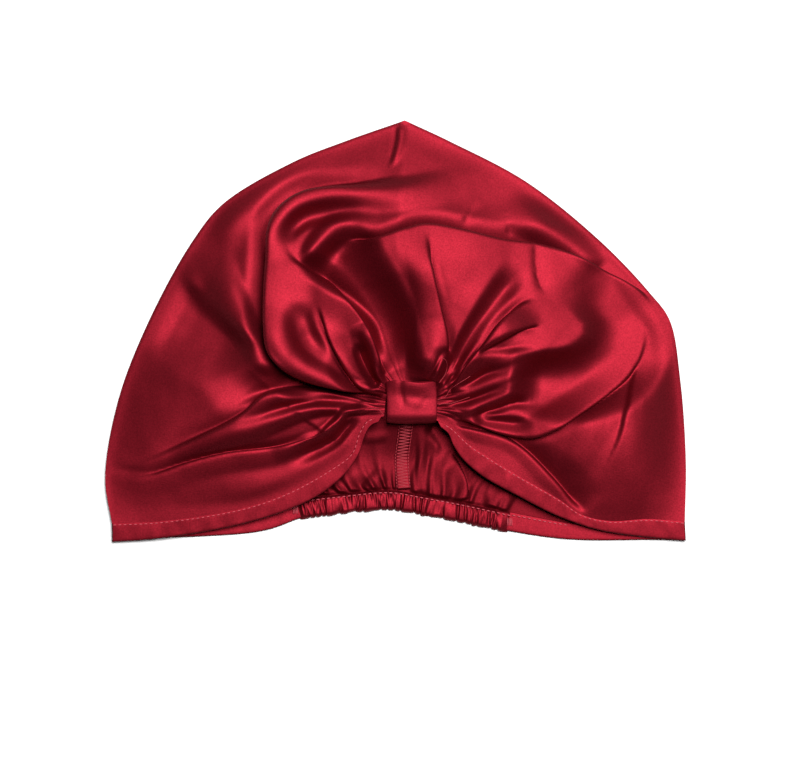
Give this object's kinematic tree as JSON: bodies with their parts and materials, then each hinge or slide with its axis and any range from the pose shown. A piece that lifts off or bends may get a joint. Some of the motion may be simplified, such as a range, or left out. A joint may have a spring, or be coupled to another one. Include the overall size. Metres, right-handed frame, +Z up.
{
  "type": "silk sleep turban",
  "caption": "Soft satin sleep turban lying on its back: a full crown gathered into a small knot band at the front, and a gathered elastic casing at the nape.",
  "frame": {"origin": "middle of the turban's box, on the surface that it lies on", "axes": "+X across the turban, towards the wearer's left, +Y from the nape edge towards the peak of the crown, +Z up through the knot, away from the surface"},
  "size_m": [0.2926, 0.2116, 0.0329],
  "materials": {
    "silk_satin": "satin",
    "overlocked_seam": "matte"
  },
  "bodies": {
    "root": {"crown_front": "silk_satin", "crown_back": "silk_satin", "front_hem_left": "silk_satin", "front_hem_right": "silk_satin", "back_hem_left": "silk_satin", "back_hem_right": "silk_satin", "nape_casing": "silk_satin", "knot_band": "silk_satin", "back_seam": "overlocked_seam"}
  },
  "joints": []
}
